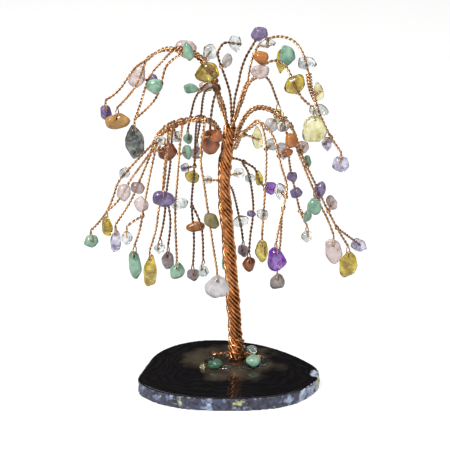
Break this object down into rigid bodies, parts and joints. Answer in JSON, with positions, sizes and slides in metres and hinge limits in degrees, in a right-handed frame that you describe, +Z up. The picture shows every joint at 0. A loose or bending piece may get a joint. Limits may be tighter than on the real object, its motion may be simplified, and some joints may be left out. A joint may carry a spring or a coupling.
{
  "type": "gemstone tree ornament",
  "caption": "Weeping tree of twisted copper wire with tumbled gemstone chips, some hanging from wire eyes, standing on a polished agate slice.",
  "frame": {"origin": "on the agate slice's underside, straight below the foot of the trunk", "axes": "+Z up, +X to the right as seen from the front, -Y towards the front"},
  "size_m": [0.1015, 0.0508, 0.128],
  "materials": {
    "copper_wire": "bright drawn copper wire, twisted in pairs",
    "agate": "polished black agate with a rough crystal rind",
    "clear_glue": "clear set glue",
    "amethyst": "tumbled, polished",
    "citrine": "tumbled, polished",
    "clear_quartz": "tumbled, polished",
    "smoky_quartz": "tumbled, polished",
    "rose_quartz": "tumbled, polished",
    "carnelian": "tumbled, polished",
    "jasper": "tumbled, polished",
    "aventurine": "tumbled, polished"
  },
  "bodies": {
    "tree": {"agate_slice": "agate", "glue_bed": "clear_glue", "foot_stones": "aventurine", "root_wires": "copper_wire", "trunk_core": "copper_wire", "trunk_strands": "copper_wire", "stone_stubs": "copper_wire", "crown_left_wires": "copper_wire", "crown_top_wires": "copper_wire", "crown_right_wires": "copper_wire", "crown_back_wires": "copper_wire", "mid_left_arch_wires": "copper_wire", "mid_left_front_wires": "copper_wire", "mid_left_back_wires": "copper_wire", "mid_right_front_wires": "copper_wire", "mid_right_arch_wires": "copper_wire", "low_right_wires": "copper_wire", "amethyst_stones": "amethyst", "citrine_stones": "citrine", "clear_quartz_stones": "clear_quartz", "rose_quartz_stones": "rose_quartz", "carnelian_stones": "carnelian", "jasper_stones": "jasper", "aventurine_stones": "aventurine"},
    "amethyst_west_stone": {"hanging_amethyst_west": "amethyst"},
    "carnelian_west_stone": {"hanging_carnelian_west": "carnelian"},
    "quartz_drop_stone": {"hanging_quartz_drop": "clear_quartz"},
    "amethyst_east_stone": {"hanging_amethyst_east": "amethyst"},
    "citrine_pear_stone": {"hanging_citrine_pear": "citrine"},
    "pale_citrine_stone": {"hanging_pale_citrine": "citrine"},
    "green_disc_stone": {"hanging_green_disc": "aventurine"},
    "citrine_west_stone": {"hanging_citrine_west": "citrine"},
    "amethyst_low_west_stone": {"hanging_amethyst_low_west": "amethyst"},
    "quartz_low_west_stone": {"hanging_quartz_low_west": "clear_quartz"},
    "green_drop_stone": {"hanging_green_drop": "aventurine"},
    "citrine_long_stone": {"hanging_citrine_long": "citrine"},
    "quartz_green_stone": {"hanging_quartz_green": "clear_quartz"},
    "amethyst_oval_stone": {"hanging_amethyst_oval": "amethyst"},
    "green_low_stone": {"hanging_green_low": "aventurine"},
    "rose_grey_stone": {"hanging_rose_grey": "rose_quartz"},
    "rose_back_stone": {"hanging_rose_back": "rose_quartz"},
    "quartz_back_stone": {"hanging_quartz_back": "clear_quartz"},
    "rose_white_stone": {"hanging_rose_white": "rose_quartz"},
    "citrine_drop_stone": {"hanging_citrine_drop": "citrine"},
    "amethyst_big_stone": {"hanging_amethyst_big": "amethyst"},
    "grey_pebble_stone": {"hanging_grey_pebble": "smoky_quartz"},
    "quartz_east_stone": {"hanging_quartz_east": "clear_quartz"},
    "rose_east_stone": {"hanging_rose_east": "rose_quartz"},
    "citrine_east_stone": {"hanging_citrine_east": "citrine"},
    "carnelian_point_stone": {"hanging_carnelian_point": "carnelian"},
    "rose_centre_stone": {"hanging_rose_centre": "rose_quartz"},
    "green_behind_stone": {"hanging_green_behind": "aventurine"},
    "mauve_back_stone": {"hanging_mauve_back": "rose_quartz"},
    "green_back_stone": {"hanging_green_back": "aventurine"},
    "jasper_big_stone": {"hanging_jasper_big": "jasper"}
  },
  "joints": [
    {"name": "amethyst_west_swing", "type": "hinge", "parent": "tree", "child": "amethyst_west_stone", "pos_m": [-0.04525, -0.004, 0.10057], "axis": [0.1736, -0.9848, 0], "range_deg": [-25, 25]},
    {"name": "carnelian_west_swing", "type": "hinge", "parent": "tree", "child": "carnelian_west_stone", "pos_m": [-0.041, -0.01, 0.09942], "axis": [-0.1736, -0.9848, 0], "range_deg": [-25, 25]},
    {"name": "quartz_drop_swing", "type": "hinge", "parent": "tree", "child": "quartz_drop_stone", "pos_m": [-0.03532, -0.006, 0.09427], "axis": [0.1392, -0.9903, 0], "range_deg": [-25, 25]},
    {"name": "amethyst_east_swing", "type": "hinge", "parent": "tree", "child": "amethyst_east_stone", "pos_m": [0.03602, -0.004, 0.08199], "axis": [-0.2079, -0.9781, 0], "range_deg": [-25, 25]},
    {"name": "citrine_pear_swing", "type": "hinge", "parent": "tree", "child": "citrine_pear_stone", "pos_m": [0.02617, -0.0085, 0.09861], "axis": [0.1045, -0.9945, 0], "range_deg": [-25, 25]},
    {"name": "pale_citrine_swing", "type": "hinge", "parent": "tree", "child": "pale_citrine_stone", "pos_m": [0.01474, 0.012, 0.09488], "axis": [0.342, -0.9397, 0], "range_deg": [-25, 25]},
    {"name": "green_disc_swing", "type": "hinge", "parent": "tree", "child": "green_disc_stone", "pos_m": [-0.0514, -0.008, 0.05445], "axis": [0.2419, -0.9703, 0], "range_deg": [-25, 25]},
    {"name": "citrine_west_swing", "type": "hinge", "parent": "tree", "child": "citrine_west_stone", "pos_m": [-0.04499, -0.017, 0.06467], "axis": [-0.1392, -0.9903, 0], "range_deg": [-25, 25]},
    {"name": "amethyst_low_west_swing", "type": "hinge", "parent": "tree", "child": "amethyst_low_west_stone", "pos_m": [-0.04303, -0.004, 0.05517], "axis": [0.2079, -0.9781, 0], "range_deg": [-25, 25]},
    {"name": "quartz_low_west_swing", "type": "hinge", "parent": "tree", "child": "quartz_low_west_stone", "pos_m": [-0.03801, -0.019, 0.05999], "axis": [0, -1, 0], "range_deg": [-25, 25]},
    {"name": "green_drop_swing", "type": "hinge", "parent": "tree", "child": "green_drop_stone", "pos_m": [-0.03587, -0.014, 0.05093], "axis": [-0.2419, -0.9703, 0], "range_deg": [-25, 25]},
    {"name": "citrine_long_swing", "type": "hinge", "parent": "tree", "child": "citrine_long_stone", "pos_m": [-0.03075, -0.01, 0.048], "axis": [0.1392, -0.9903, 0], "range_deg": [-25, 25]},
    {"name": "quartz_green_swing", "type": "hinge", "parent": "tree", "child": "quartz_green_stone", "pos_m": [-0.02804, 0.008, 0.04517], "axis": [-0.342, -0.9397, 0], "range_deg": [-25, 25]},
    {"name": "amethyst_oval_swing", "type": "hinge", "parent": "tree", "child": "amethyst_oval_stone", "pos_m": [-0.02543, -0.0175, 0.07408], "axis": [0.1045, -0.9945, 0], "range_deg": [-25, 25]},
    {"name": "green_low_swing", "type": "hinge", "parent": "tree", "child": "green_low_stone", "pos_m": [-0.02116, -0.012, 0.04571], "axis": [0.1736, -0.9848, 0], "range_deg": [-25, 25]},
    {"name": "rose_grey_swing", "type": "hinge", "parent": "tree", "child": "rose_grey_stone", "pos_m": [-0.02505, 0.006, 0.04313], "axis": [-0.1736, -0.9848, 0], "range_deg": [-25, 25]},
    {"name": "rose_back_swing", "type": "hinge", "parent": "tree", "child": "rose_back_stone", "pos_m": [-0.0161, 0.01, 0.0343], "axis": [0.2756, -0.9613, 0], "range_deg": [-25, 25]},
    {"name": "quartz_back_swing", "type": "hinge", "parent": "tree", "child": "quartz_back_stone", "pos_m": [-0.01228, 0.005, 0.03828], "axis": [-0.2756, -0.9613, 0], "range_deg": [-25, 25]},
    {"name": "rose_white_swing", "type": "hinge", "parent": "tree", "child": "rose_white_stone", "pos_m": [-0.00707, -0.012, 0.04097], "axis": [0.0698, -0.9976, 0], "range_deg": [-25, 25]},
    {"name": "citrine_drop_swing", "type": "hinge", "parent": "tree", "child": "citrine_drop_stone", "pos_m": [0.00871, -0.01, 0.05327], "axis": [-0.1045, -0.9945, 0], "range_deg": [-25, 25]},
    {"name": "amethyst_big_swing", "type": "hinge", "parent": "tree", "child": "amethyst_big_stone", "pos_m": [0.01352, -0.014, 0.05212], "axis": [0.1392, -0.9903, 0], "range_deg": [-25, 25]},
    {"name": "grey_pebble_swing", "type": "hinge", "parent": "tree", "child": "grey_pebble_stone", "pos_m": [0.01425, -0.008, 0.04003], "axis": [-0.0698, -0.9976, 0], "range_deg": [-25, 25]},
    {"name": "quartz_east_swing", "type": "hinge", "parent": "tree", "child": "quartz_east_stone", "pos_m": [0.02572, 0.01, 0.04942], "axis": [0.2079, -0.9781, 0], "range_deg": [-25, 25]},
    {"name": "rose_east_swing", "type": "hinge", "parent": "tree", "child": "rose_east_stone", "pos_m": [0.03408, -0.006, 0.05208], "axis": [-0.1392, -0.9903, 0], "range_deg": [-25, 25]},
    {"name": "citrine_east_swing", "type": "hinge", "parent": "tree", "child": "citrine_east_stone", "pos_m": [0.04005, 0, 0.04531], "axis": [0.1736, -0.9848, 0], "range_deg": [-25, 25]},
    {"name": "carnelian_point_swing", "type": "hinge", "parent": "tree", "child": "carnelian_point_stone", "pos_m": [0.0045, 0.006, 0.04089], "axis": [0.2419, -0.9703, 0], "range_deg": [-25, 25]},
    {"name": "rose_centre_swing", "type": "hinge", "parent": "tree", "child": "rose_centre_stone", "pos_m": [0.00229, 0.011, 0.04355], "axis": [-0.2079, -0.9781, 0], "range_deg": [-25, 25]},
    {"name": "green_behind_swing", "type": "hinge", "parent": "tree", "child": "green_behind_stone", "pos_m": [-0.00388, 0.014, 0.03785], "axis": [0.309, -0.9511, 0], "range_deg": [-25, 25]},
    {"name": "mauve_back_swing", "type": "hinge", "parent": "tree", "child": "mauve_back_stone", "pos_m": [-0.01441, 0.014, 0.0804], "axis": [-0.1736, -0.9848, 0], "range_deg": [-25, 25]},
    {"name": "green_back_swing", "type": "hinge", "parent": "tree", "child": "green_back_stone", "pos_m": [-0.01767, 0.0165, 0.08442], "axis": [0.2079, -0.9781, 0], "range_deg": [-25, 25]},
    {"name": "jasper_big_swing", "type": "hinge", "parent": "tree", "child": "jasper_big_stone", "pos_m": [-0.00941, -0.007, 0.09287], "axis": [-0.0872, -0.9962, 0], "range_deg": [-25, 25]}
  ]
}
